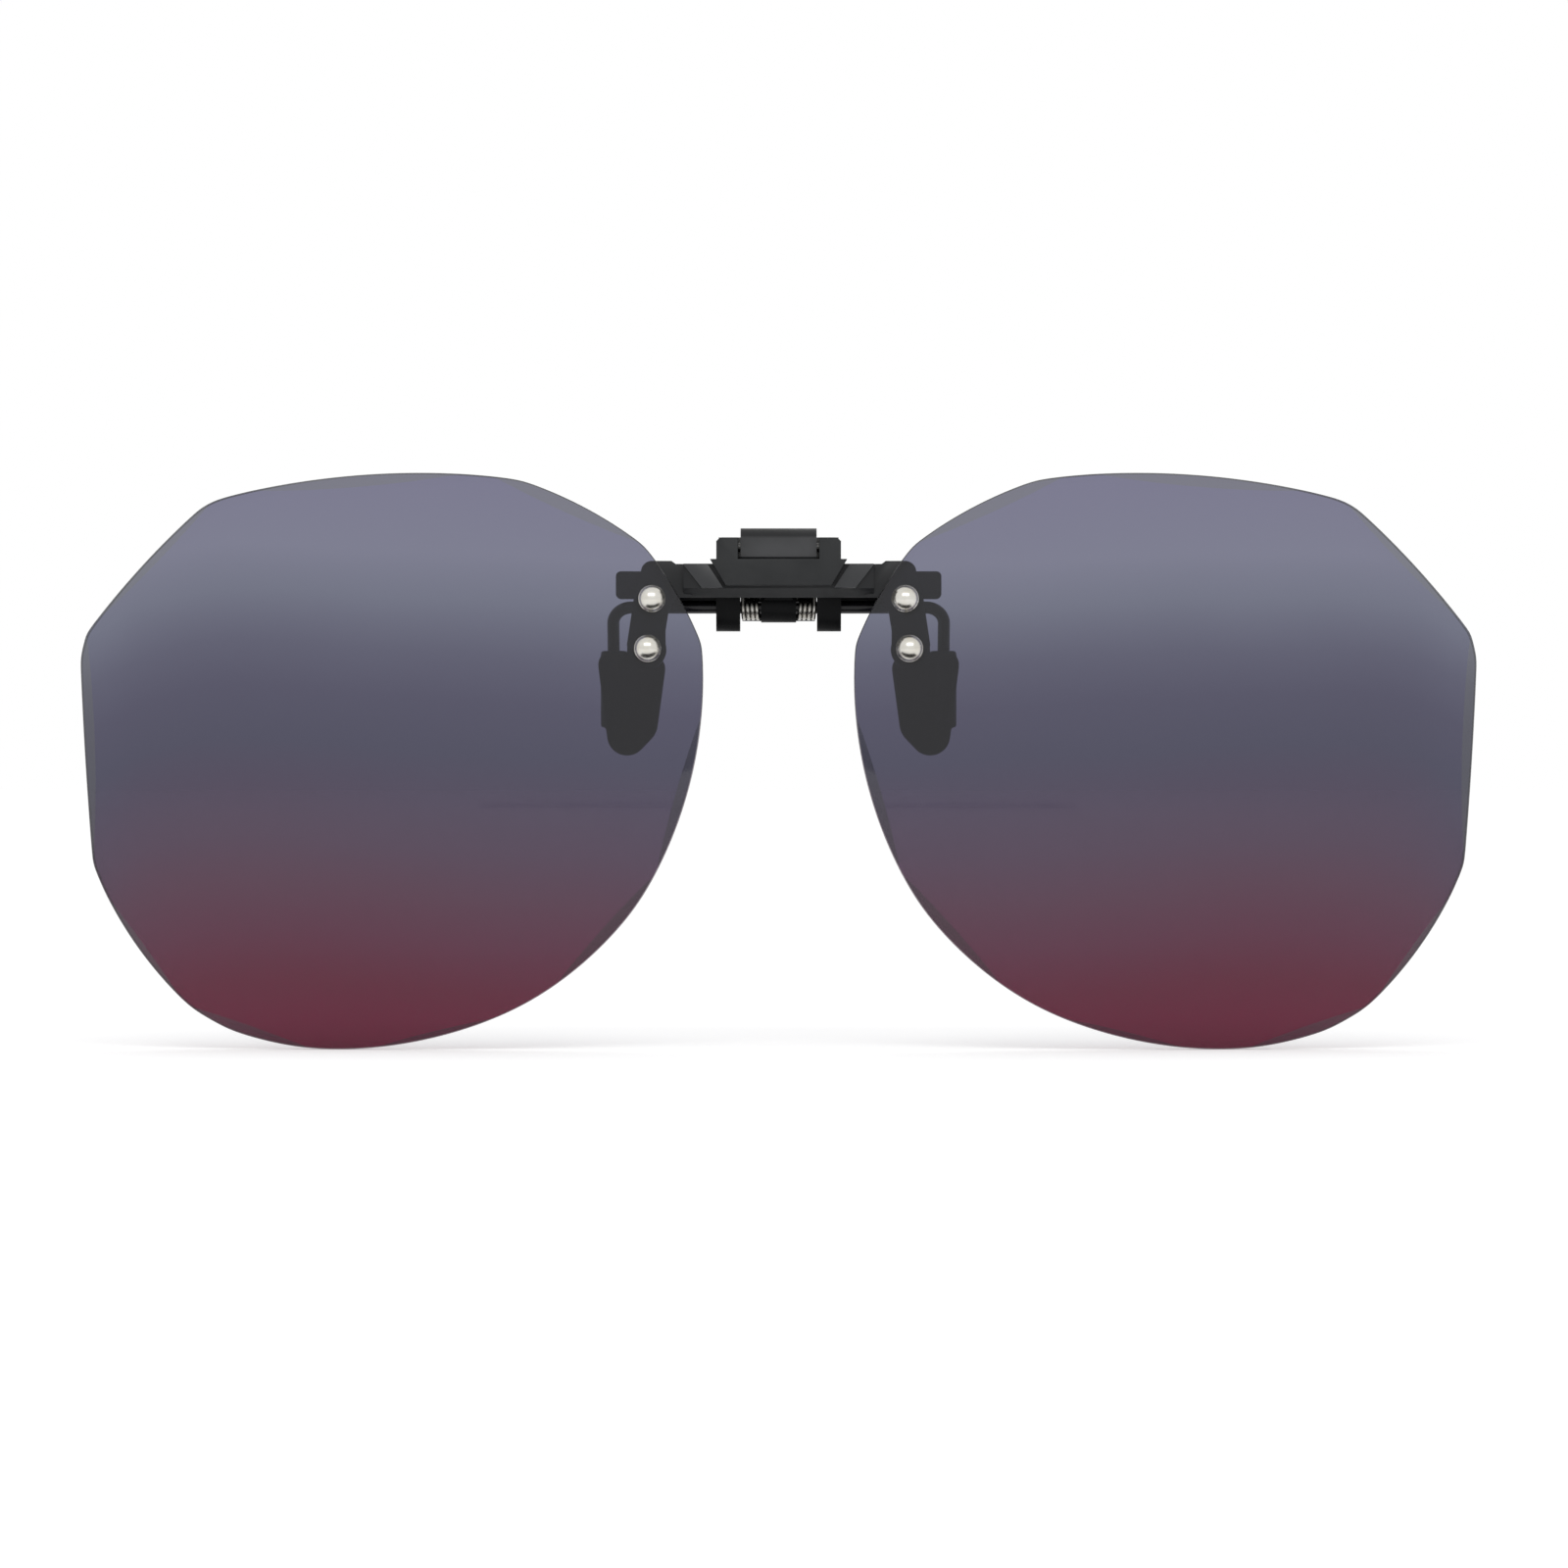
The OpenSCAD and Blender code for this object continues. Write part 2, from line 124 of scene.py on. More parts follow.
def new_piece(name, points, faces, smooth_angle):
    """A mesh from points in mm, smooth except at edges sharper than smooth_angle."""
    mesh = bpy.data.meshes.new(name)
    mesh.from_pydata([Vector(p) * MM for p in points], [], faces)
    piece = bpy.data.objects.new(name, mesh)
    bpy.context.scene.collection.objects.link(piece)
    face_outwards(mesh)
    mesh.shade_smooth()
    mesh.set_sharp_from_angle(angle=math.radians(smooth_angle))
    return piece


def face_outwards(mesh):
    bm = bmesh.new()
    bm.from_mesh(mesh)
    bmesh.ops.recalc_face_normals(bm, faces=bm.faces)
    bm.to_mesh(mesh)
    bm.free()


def dress(piece, body, slot, node, *materials):
    """Gives a piece its body and its materials, and hides the CAD node it stands for. slot is not used.
    """
    for material in materials:
        piece.data.materials.append(material)
    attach(piece, body)
    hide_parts(node)


def ring_faces(rings, sides):
    """Quads between rings of `sides` points, numbered ring by ring, with both ends closed."""
    faces = []
    for first in range(0, (rings - 1) * sides, sides):
        second = first + sides
        for k in range(sides):
            after = (k + 1) % sides
            faces.append((first + k, first + after, second + after, second + k))
    faces.append(tuple(range(sides)))
    faces.append(tuple((rings - 1) * sides + k for k in range(sides)))
    return faces


def tube(name, path, radius, sides, first_side):
    """A round wire along a path in mm, with crowned ends. first_side is where side 0 looks."""
    path = [Vector(p) for p in path]
    count = len(path)
    last = Vector(first_side)
    points = []
    for i, centre in enumerate(path):
        along = (path[min(i + 1, count - 1)] - path[max(i - 1, 0)]).normalized()
        side = (last - along * last.dot(along)).normalized()
        other = along.cross(side)
        last = side
        for shift, r in crown_rings(i, count, radius):
            for k in range(sides):
                a = 2 * math.pi * k / sides
                points.append(centre + along * shift + r * (math.cos(a) * side + math.sin(a) * other))
    return new_piece(name, points, ring_faces(len(points) // sides, sides), smooth_angle=60)


def crown_rings(i, count, radius):
    """(shift along the wire, radius) of the rings at path point i; both ends round off."""
    steps = 4
    edge = radius * 0.35
    angles = [math.pi / 2 * j / steps for j in range(steps + 1)]
    arc = [(edge * math.sin(t) - edge, radius - edge * (1 - math.cos(t))) for t in angles]
    if i == 0:
        return [(-shift, r) for shift, r in reversed(arc)]
    return arc if i == count - 1 else [(0, radius)]


def softened(name, node, width, angle=32):
    """A copy of a CAD node's mesh with its flat faces joined, and with its edges rounded over
    by width mm where they turn by more than angle."""
    weld = 0.002
    flat_within = 0.4
    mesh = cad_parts[node].data.copy()
    mesh.name = name
    mesh.materials.clear()
    bm = bmesh.new()
    bm.from_mesh(mesh)
    bmesh.ops.remove_doubles(bm, verts=bm.verts, dist=weld * MM)
    bmesh.ops.dissolve_limit(bm, angle_limit=math.radians(flat_within), verts=bm.verts, edges=bm.edges)
    bm.to_mesh(mesh)
    bm.free()
    piece = bpy.data.objects.new(name, mesh)
    bpy.context.scene.collection.objects.link(piece)
    mesh.shade_smooth()
    bevel = piece.modifiers.new("edges", "BEVEL")
    bevel.width = width * MM
    bevel.segments = 3
    bevel.limit_method = "ANGLE"
    bevel.angle_limit = math.radians(angle)
    bevel.use_clamp_overlap = True
    bevel.harden_normals = True
    return piece


# --- Materials ---


def new_material(name):
    material = bpy.data.materials.new(name)
    material.use_nodes = True
    tree = material.node_tree
    return material, tree, tree.nodes["Principled BSDF"]


def add(tree, kind, inputs=None, **settings):
    node = tree.nodes.new(kind)
    for key, value in settings.items():
        setattr(node, key, value)
    for key, value in (inputs or {}).items():
        if isinstance(value, bpy.types.NodeSocket):
            tree.links.new(value, node.inputs[key])
        else:
            node.inputs[key].default_value = value
    return node


def place(tree):
    """The place on the object in the CAD frame at rest, in metres."""
    return add(tree, "ShaderNodeTexCoord").outputs["Object"]


def coordinate(tree, axis):
    return add(tree, "ShaderNodeSeparateXYZ", {"Vector": place(tree)}).outputs[axis]


def noise(tree, per_mm, detail, rough=0.5, stretch=(1, 1, 1)):
    """Noise from 0 to 1 with about per_mm bumps a millimetre."""
    spread = add(tree, "ShaderNodeMapping", {"Vector": place(tree), "Scale": stretch})
    made = add(
        tree,
        "ShaderNodeTexNoise",
        {"Vector": spread.outputs["Vector"], "Scale": per_mm / MM, "Detail": detail, "Roughness": rough},
    )
    return made.outputs["Fac"]


def ramp(tree, value, stops, kind="LINEAR"):
    """Colours by value: stops are (position, colour)."""
    node = add(tree, "ShaderNodeValToRGB", {"Fac": value})
    node.color_ramp.interpolation = kind
    elements = node.color_ramp.elements
    while len(elements) < len(stops):
        elements.new(0.5)
    for element, (position, colour) in zip(elements, stops):
        element.position = position
        element.color = (*colour, 1)
    return node.outputs["Color"]


def span(tree, value, low, high, to_low, to_high):
    """value mapped from low..high to to_low..to_high, and held there."""
    node = add(
        tree,
        "ShaderNodeMapRange",
        {"Value": value, "From Min": low, "From Max": high, "To Min": to_low, "To Max": to_high},
    )
    return node.outputs["Result"]


def maths(tree, operation, a, b=0.0):
    return add(tree, "ShaderNodeMath", {0: a, 1: b}, operation=operation).outputs["Value"]


def blended(tree, amount, a, b, kind="MIX"):
    """Colour a turned into b by amount."""
    node = tree.nodes.new("ShaderNodeMix")
    node.data_type = "RGBA"
    node.blend_type = kind
    for socket, value in (("Factor_Float", amount), ("A_Color", a), ("B_Color", b)):
        target = next(i for i in node.inputs if i.identifier == socket)
        if isinstance(value, bpy.types.NodeSocket):
            tree.links.new(value, target)
        else:
            target.default_value = value if socket == "Factor_Float" else (*value, 1)
    return next(o for o in node.outputs if o.identifier == "Result_Color")


def edges(tree):
    """1 on sharp edges, 0 on flats."""
    reach_in = 0.16
    rounded = add(tree, "ShaderNodeBevel", {"Radius": reach_in * MM}, samples=6)
    flat = add(tree, "ShaderNodeNewGeometry")
    match = add(
        tree,
        "ShaderNodeVectorMath",
        {0: rounded.outputs["Normal"], 1: flat.outputs["Normal"]},
        operation="DOT_PRODUCT",
    )
    return span(tree, match.outputs["Value"], 0.97, 0.75, 0.0, 1.0)


def bumps(tree, bsdf, height, depth):
    """Raises the surface by up to depth mm where height is 1."""
    node = add(tree, "ShaderNodeBump", {"Height": height, "Strength": 1.0, "Distance": depth * MM})
    tree.links.new(node.outputs["Normal"], bsdf.inputs["Normal"])


def by_height(tree, stops):
    """A grey level by height above the clamp's pivot: stops are (mm, level)."""
    low, high = stops[0][0], stops[-1][0]
    levels = [((z - low) / (high - low), (level,) * 3) for z, level in stops]
    return ramp(tree, span(tree, coordinate(tree, "Z"), low * MM, high * MM, 0, 1), levels)


def by_depth(tree, front, back):
    """1 on faces nearer the front than y = front, 0 on faces behind y = back, in mm."""
    return span(tree, coordinate(tree, "Y"), front * MM, back * MM, 1, 0)


def moulded(name, dark, light, rough, shine, grain, grain_depth, wear=0.5, painted_shade=None):
    """Satin moulded plastic or lacquer: fine grain, with grain bumps a millimetre and grain_depth
    mm deep, faint mottling from dark to light, and paler, smoother edges by wear. Its last
    argument, a function of the tree, paints in shade and light: it gives the share of its
    colour and shine that each place keeps."""
    material, tree, bsdf = new_material(name)
    body = blended(tree, span(tree, noise(tree, 0.35, 4), 0.35, 0.65, 0, 1), dark, light)
    patchy = span(tree, noise(tree, 1.1, 3), 0.35, 0.6, 0.35, 1)
    edge = maths(tree, "MULTIPLY", edges(tree), patchy)
    worn = tuple(c * 2.2 + 0.008 for c in light)
    colour = blended(tree, maths(tree, "MULTIPLY", edge, wear), body, worn)
    bsdf.inputs["Specular IOR Level"].default_value = shine
    # Painted shade and light: colour and shine scaled down place by place
    if painted_shade:
        shade_share = painted_shade(tree)
        colour = blended(tree, 1.0, colour, shade_share, "MULTIPLY")
        tree.links.new(maths(tree, "MULTIPLY", shade_share, shine), bsdf.inputs["Specular IOR Level"])
    tree.links.new(colour, bsdf.inputs["Base Color"])
    haze = span(tree, noise(tree, 1.7, 5), 0.3, 0.7, rough - 0.05, rough + 0.06)
    rubbed = maths(tree, "MULTIPLY", edge, 0.08)
    tree.links.new(maths(tree, "SUBTRACT", haze, rubbed), bsdf.inputs["Roughness"])
    bumps(tree, bsdf, noise(tree, grain, 2), grain_depth)
    return material


def bright_metal(name, colour, rough, scratch_stretch, painted_shade=None):
    """Polished metal with faint drawing lines and slightly uneven shine.
    Its last argument, a function of the tree, paints in shade: it gives the share of its
    colour that each place keeps."""
    material, tree, bsdf = new_material(name)
    tarnish = tuple(c * f for c, f in zip(colour, (0.86, 0.82, 0.74)))
    surface = blended(tree, span(tree, noise(tree, 0.9, 4), 0.4, 0.75, 0, 0.6), colour, tarnish)
    # Painted shade: colour scaled down place by place
    if painted_shade:
        surface = blended(tree, 1.0, surface, painted_shade(tree), "MULTIPLY")
    tree.links.new(surface, bsdf.inputs["Base Color"])
    lines = noise(tree, 6, 3, 0.6, scratch_stretch)
    tree.links.new(span(tree, lines, 0.3, 0.7, rough, rough + 0.08), bsdf.inputs["Roughness"])
    bumps(tree, bsdf, lines, 0.0012)
    bsdf.inputs["Metallic"].default_value = 1
    return material


# --- Lens material ---


def lens_level(tree, low, high, across):
    """Height on the lens from its bottom (0) to its top (1), faintly uneven, and read a little
    higher near the nose and along the temple edge."""
    wobble = span(tree, noise(tree, 0.03, 2), 0.3, 0.7, -0.012, 0.012)
    level = maths(tree, "ADD", span(tree, coordinate(tree, "Z"), low.z, high.z, 0, 1), wobble)
    run = ramp(tree, across, [(p, (shift,) * 3) for p, shift in LEVEL_LIFT], "B_SPLINE")
    return maths(tree, "ADD", level, run)


def lens_across(tree, low, high):
    """Place on the lens from its nose side (0) to its temple side (1)."""
    from_middle = maths(tree, "ABSOLUTE", coordinate(tree, "X"))
    inner, outer = min(abs(low.x), abs(high.x)), max(abs(low.x), abs(high.x))
    return span(tree, from_middle, inner, outer, 0, 1)


# How much higher the lens's level is read, from the nose (0) to the temple (1)
LEVEL_LIFT = [(0.0, 0.05), (0.45, 0.02), (0.75, 0.0), (0.9, 0.02), (1.0, 0.10)]
# By height on the lens from its bottom (0) to its top (1), the share of light that comes
# through both faces: the lens's own wine-to-grey tint, with painted shade, the lens's own
# shadow seen through it, darkening the middle and bottom
TINT_AND_SHADE = [
    (0.00, (0.096, 0.002, 0.020)),
    (0.12, (0.084, 0.007, 0.025)),
    (0.21, (0.079, 0.018, 0.042)),
    (0.29, (0.074, 0.029, 0.055)),
    (0.37, (0.065, 0.038, 0.069)),
    (0.46, (0.058, 0.044, 0.079)),
    (0.54, (0.055, 0.053, 0.090)),
    (0.63, (0.065, 0.062, 0.104)),
    (0.71, (0.087, 0.087, 0.134)),
    (0.80, (0.134, 0.141, 0.195)),
    (0.88, (0.169, 0.172, 0.239)),
    (1.00, (0.165, 0.162, 0.239)),
]


def lens_glass(name, low, high, film, clear, grey, base_and_glint, rough):
    """Tinted lens: wine red at the bottom through slate to pale grey at the top, with painted
    shade darkening its middle and bottom.
    film is the share of light that meets the surface instead of passing through the
    tint, clear a factor on how much passes, and grey how far its colour is lost. The pair
    of colours after grey is the surface's own colour, the first low down and on the nose
    side and the second toward the top and the temple side: on the facets this paints a
    reflection, on the rim a highlight low down."""
    material, tree, bsdf = new_material(name)
    across = lens_across(tree, low, high)
    level = lens_level(tree, low, high, across)
    fresnel_gloss = 0.7
    # The stops carry the tint together with painted shade in the middle and at the bottom
    tint_and_shade_stops = []
    for position, colour in TINT_AND_SHADE:
        mean = sum(colour) / 3
        passed = [math.sqrt((c + (mean - c) * grey) * clear) / (1 - film) for c in colour]
        tint_and_shade_stops.append((position, tuple(min(1, c) for c in passed)))
    open_part = add(tree, "ShaderNodeBsdfTransparent", {"Color": ramp(tree, level, tint_and_shade_stops)})
    # Painted reflection and highlight: toward the top and the temple side the surface turns from its
    # first colour to its second
    upper = span(tree, level, 0.5, 0.75, 0, 1)
    temple = span(tree, across, 0.6, 0.95, 0, 0.8)
    bright = maths(tree, "MAXIMUM", upper, temple)
    tree.links.new(blended(tree, bright, *base_and_glint), bsdf.inputs["Base Color"])
    smears = noise(tree, 0.09, 5, 0.6, (1, 1, 2.5))
    tree.links.new(span(tree, smears, 0.35, 0.7, rough, rough + 0.05), bsdf.inputs["Roughness"])
    bsdf.inputs["Specular IOR Level"].default_value = fresnel_gloss
    both = add(
        tree, "ShaderNodeMixShader", {0: film, 1: open_part.outputs["BSDF"], 2: bsdf.outputs["BSDF"]}
    )
    tree.links.new(both.outputs["Shader"], tree.nodes["Material Output"].inputs["Surface"])
    return material


# --- Lenses ---


def side_reach(side, a):
    """Distance from the lens centre to one round side, in direction a."""
    direction, distance, radius = side
    offset = distance - radius
    across = offset * sind(a - direction)
    far = radius * radius - across * across
    return offset * cosd(a - direction) + math.sqrt(far) if far > 0 else 2 * radius


def reach(a):
    """Distance to the outline in direction a, with the corners between the sides eased."""
    soften = 0.09
    near = min(side_reach(s, a) for s in LENS_SIDES)
    pull = sum(math.exp((near - side_reach(s, a)) / soften) for s in LENS_SIDES)
    return near - soften * math.log(pull)


class LensShape:
    """The right lens: a curved shell with its outline and its ground facets."""

    directions = 480
    chamfer = 0.09
    front_steps = 12
    facet_steps = 3
    back_steps = 7
    facet_least = 0.02
    facet_most = 4

    def __init__(self):
        low, high = box_mm("lens_right")
        outline = [(reach(a) * cosd(a), reach(a) * sind(a)) for a in turns(self.directions)]
        self.x = (low.x + high.x) / 2 - (max(p[0] for p in outline) + min(p[0] for p in outline)) / 2
        self.z = (low.z + high.z) / 2 - (max(p[1] for p in outline) + min(p[1] for p in outline)) / 2
        self.ball = Vector((self.x - WRAP, low.y + LENS_CURVE_R, self.z))
        self.planes = [self.facet_plane(*f) for f in FACETS]

    def ball_y(self, x, z, depth=0):
        """Y of the ball's surface, depth mm behind the lens front."""
        r = LENS_CURVE_R - depth
        return self.ball.y - math.sqrt(r * r - (x - self.ball.x) ** 2 - (z - self.ball.z) ** 2)

    def seat(self, x, z, length):
        """Where the axis of a rivet of this length, centred at x and z, meets the lens front."""
        point = Vector((x, self.ball_y(x, z), z))
        inward = (self.ball - point).normalized()
        back = length / 2 - HEAD_H
        x, z = x - inward.x * back, z - inward.z * back
        return Vector((x, self.ball_y(x, z), z))

    def facet_plane(self, direction, width):
        """(point, normal) of the plane that a facet is ground to."""
        d = reach(direction) - width
        x, z = self.x + d * cosd(direction), self.z + d * sind(direction)
        point = Vector((x, self.ball_y(x, z), z))
        outward = (point - self.ball).normalized()
        across = Vector((-outward.y, outward.x, 0)).normalized()
        up = across.cross(-outward).normalized()
        if up.z < 0:
            up, across = -up, -across
        run = across * cosd(direction) + up * sind(direction)
        return point, run * sind(FACET_TILT) + outward * cosd(FACET_TILT)

    def front_y(self, x, z):
        """Y of the finished front, and how deep a facet is ground there."""
        ball = self.ball_y(x, z)
        cut = max(
            p.y - (n.x * (x - p.x) + n.z * (z - p.z)) / n.y for p, n in self.planes
        )
        return max(ball, cut), cut - ball

    def crease(self, a, rim):
        """Distance at which a facet starts in direction a, and whether there is one. Where there
        is none, the distance is just inside the rim."""
        def ground(d):
            return self.front_y(self.x + d * cosd(a), self.z + d * sind(a))[1]

        if ground(rim) <= 0:
            return rim - self.facet_least, False
        near, far = rim - self.facet_most, rim
        halvings = 30
        for _ in range(halvings):
            middle = (near + far) / 2
            if ground(middle) > 0:
                far = middle
            else:
                near = middle
        return min(far, rim - self.facet_least), True

    def rings(self):
        """Rings of points from the front's centre out over the rim and in again along the back,
        and whether there is a facet in each direction."""
        inner, outer, back = self.front_steps, self.facet_steps, self.back_steps
        rings = [[] for _ in range(inner + outer + 2 + back)]
        ground = []
        for a in turns(self.directions):
            edge = reach(a)
            rim = edge - self.chamfer
            crease, has_facet = self.crease(a, rim)
            ground.append(has_facet)
            front = [crease * (j + 1) / inner for j in range(inner)]
            front += [crease + (rim - crease) * (j + 1) / outer for j in range(outer)]
            for ring, d in zip(rings, front):
                x, z = self.x + d * cosd(a), self.z + d * sind(a)
                ring.append((x, self.front_y(x, z)[0], z))
            x, z = self.x + edge * cosd(a), self.z + edge * sind(a)
            front_edge = self.front_y(x, z)[0] + self.chamfer
            back_edge = self.ball_y(x, z, LENS_T) - self.chamfer
            rings[inner + outer].append((x, front_edge, z))
            rings[inner + outer + 1].append((x, back_edge, z))
            for j in range(back):
                d = rim * (back - j) / back
                x, z = self.x + d * cosd(a), self.z + d * sind(a)
                rings[inner + outer + 2 + j].append((x, self.ball_y(x, z, LENS_T), z))
        self.facet_rings = range(inner - 1, inner + outer - 1)
        self.rim_rings = range(inner + outer - 1, inner + outer + 2)
        return rings, ground


def mirrored(points, side):
    return [(side * x, y, z) for x, y, z in points]


def make_lens(name, node, side, shape, materials):
    """One lens, with its faces in the materials (tint, facet, rim)."""
    rings, ground = shape.rings()
    n = shape.directions
    points = [p for ring in rings for p in ring]
    faces = ring_faces(len(rings), n)[:-2]  # without the two flat ends
    tint, facet, rim = 0, 1, 2
    kinds = []
    for i in range(len(rings) - 1):
        for k in range(n):
            if i in shape.facet_rings and ground[k] and ground[(k + 1) % n]:
                kinds.append(facet)
            else:
                kinds.append(rim if i in shape.rim_rings else tint)
    front, back = len(points), len(points) + 1
    points += [
        (shape.x, shape.ball_y(shape.x, shape.z), shape.z),
        (shape.x, shape.ball_y(shape.x, shape.z, LENS_T), shape.z),
    ]
    first_back = (len(rings) - 1) * n
    for k in range(n):
        faces.append((front, k, (k + 1) % n))
        faces.append((back, first_back + k, first_back + (k + 1) % n))
        kinds += [tint, tint]
    lens = new_piece(name, mirrored(points, side), faces, smooth_angle=14)
    dress(lens, "lens_carrier", "lens", node, *materials)
    for polygon, kind in zip(lens.data.polygons, kinds):
        polygon.material_index = kind


# The looks of a lens's faces, its ground facets and its rim, in the order of their materials.
# Their surface colour pairs paint a reflection onto the facets and a highlight low on the rim.
LENS_ZONES = {
    "tint": {
        "film": 0.5, "clear": 1, "grey": 0, "rough": 0.08,
        "base_and_glint": ((0.012, 0.012, 0.013), (0.012, 0.012, 0.013)),
    },
    "facet": {
        "film": 0.5, "clear": 0.62, "grey": 0.75, "rough": 0.08,
        "base_and_glint": ((0.004, 0.004, 0.005), (0.052, 0.056, 0.062)),
    },
    "rim": {
        "film": 0.8, "clear": 0.2, "grey": 0.5, "rough": 0.25,
        "base_and_glint": ((0.26, 0.22, 0.24), (0.010, 0.010, 0.010)),
    },
}


def make_lenses():
    shape = LensShape()
    for word, side in SIDES.items():
        low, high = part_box("lens_" + word)
        materials = [
            lens_glass(f"lens_{word}_{zone}", low, high, **look) for zone, look in LENS_ZONES.items()
        ]
        make_lens(f"sun_lens_{word}", "lens_" + word, side, shape, materials)
    return shape


# --- Rivets ---

LIP = 0.06  # how far the head's edge is rounded under
RIVET_SIDES = 64
HEAD_STEPS = 14
TAIL_STEPS = 8


def dome(radius, height, steps):
    """(distance from the axis, height) from a flat round cap's rim to near its top."""
    ball = (radius * radius + height * height) / (2 * height)
    edge = math.asin(radius / ball)
    angles = [edge * (1 - j / steps) for j in range(steps)]
    return [(ball * math.sin(t), height - ball + ball * math.cos(t)) for t in angles]


def make_rivet(name, node, side, shape, metal):
    """A domed rivet, square to the lens, where the CAD rivet meets its front."""
    low, high = box_mm(node)
    middle = (low + high) / 2
    seat = shape.seat(abs(middle.x), middle.z, high.y - low.y)
    inward = (shape.ball - seat).normalized()
    across = inward.cross(Vector((0, 0, 1))).normalized()
    up = across.cross(inward)
    stack = high.y - low.y - HEAD_H - TAIL_H
    head = [(HEAD_R - LIP, 0.0), (HEAD_R, -LIP)]
    head += [(r, -h) for r, h in dome(HEAD_R, HEAD_H, HEAD_STEPS)[1:]]
    tail = [(SHANK_R, 0.0), (SHANK_R, stack), (TAIL_R, stack)]
    tail += [(r, stack + h) for r, h in dome(TAIL_R, TAIL_H, TAIL_STEPS)[1:]]
    profile = list(reversed(head)) + tail
    points = [
        seat + inward * depth + r * (cosd(a) * across + sind(a) * up)
        for r, depth in profile
        for a in turns(RIVET_SIDES)
    ]
    faces = ring_faces(len(profile), RIVET_SIDES)
    rivet = new_piece(name, mirrored(points, side), faces, smooth_angle=35)
    dress(rivet, "lens_carrier", "rivet", node, metal)


def make_rivets(shape, metal):
    for word, side in SIDES.items():
        for level in ("upper", "lower"):
            make_rivet(f"rivet_{level}_{word}_turned", f"rivet_{level}_{word}", side, shape, metal)


# --- Jaw wire and spring ---


SLIM = 0.005  # how much smaller the drawn wire's radius is than WIRE_R
LEG_SLACK = 0.01  # how much smaller the radius of the CAD wire's legs is than WIRE_R


def leg_path():
    """Points along the right half of the jaw wire, from the middle down into the pad."""
    steps = 10
    jaw_low, jaw_high = box_mm("jaw_wire")
    jaw_y = jaw_high.y - WIRE_R + LEG_SLACK
    slope = (jaw_y - BEND_R * sind(LEG_TILT) - TURN_R * (1 - cosd(LEG_TILT))) / sind(LEG_TILT)
    top = -(BEND_R + slope) * cosd(LEG_TILT) - TURN_R * sind(LEG_TILT)
    path = [(0, 0, 0), ((LEG_X - BEND_R) / 2, 0, 0)]
    for i in range(steps + 1):
        a = 90 * i / steps
        drop = BEND_R * (1 - cosd(a))
        path.append((LEG_X - BEND_R + BEND_R * sind(a), drop * sind(LEG_TILT), -drop * cosd(LEG_TILT)))
    for i in range(steps // 2, -1, -1):
        a = LEG_TILT * i / (steps // 2)
        path.append((LEG_X, jaw_y - TURN_R + TURN_R * cosd(a), top + TURN_R * sind(a)))
    path.append((LEG_X, jaw_y, jaw_low.z))
    return path


def make_jaw_wire(lacquer):
    half = leg_path()
    path = mirrored(reversed(half[1:]), -1) + half
    wire = tube("jaw_wire_bent", path, WIRE_R - SLIM, 28, (0, 1, 0))
    dress(wire, "rear_jaw", "wire", "jaw_wire", lacquer)


def leaned(x, v, u):
    """A point in the pinch lever's own frame, where v points back and u up along it."""
    return (
        x,
        v * cosd(LEVER_LEAN) + u * sind(LEVER_LEAN),
        u * cosd(LEVER_LEAN) - v * sind(LEVER_LEAN),
    )


def spring_half():
    """Points along the spring's left half, from its leg's top to the start of its loop's bar."""
    steps_a_turn = 28
    corner_steps = 8
    start, end = 270, 90 + LEVER_LEAN
    turn = start + 360 * SPRING_TURNS - end
    count = math.ceil(turn / 360 * steps_a_turn)
    path = [(-COIL_OUT, -COIL_R, SPRING_LEG), (-COIL_OUT, -COIL_R, SPRING_LEG / 2)]
    for i in range(count + 1):
        a = start - turn * i / count
        path.append((-COIL_OUT + (COIL_OUT - COIL_IN) * i / count, COIL_R * sind(a), COIL_R * cosd(a)))
    for i in range(corner_steps + 1):
        a = 90 * i / corner_steps
        path.append(leaned(-COIL_IN + LOOP_ROUND * (1 - cosd(a)), COIL_R, LOOP_U + LOOP_ROUND * sind(a)))
    return path


def make_torsion_spring(metal):
    half = spring_half()
    path = half + mirrored(reversed(half), -1)
    spring = tube("torsion_spring_wound", path, SPRING_R, 14, (1, 0, 0))
    dress(spring, "clamp", "spring", "torsion_spring", metal)


# --- Rear pads ---


def make_rear_pad(word, silicone):
    """A drop-shaped silicone pad, moulded in one with the sleeve round the wire's leg."""
    edge_round, edge_angle = 0.3, 40
    voxel = 0.11
    pad = softened(f"rear_pad_{word}_moulded", "rear_pad_" + word, edge_round, edge_angle)
    melt = pad.modifiers.new("one skin", "REMESH")
    melt.mode = "VOXEL"
    melt.voxel_size = voxel * MM
    melt.use_smooth_shade = True
    relax = pad.modifiers.new("soften", "SMOOTH")
    relax.factor = 0.5
    relax.iterations = 24
    dress(pad, "rear_jaw", "pad", "rear_pad_" + word, silicone)


# --- Stage ---


def area_light(name, place_m, target, size, watts):
    data = bpy.data.lights.new(name, "AREA")
    data.shape = "RECTANGLE"
    data.size, data.size_y = size
    data.energy = watts
    lamp = bpy.data.objects.new(name, data)
    lamp.location = place_m
    lamp.rotation_euler = (Vector(target) - Vector(place_m)).to_track_quat("-Z", "Y").to_euler()
    bpy.context.scene.collection.objects.link(lamp)


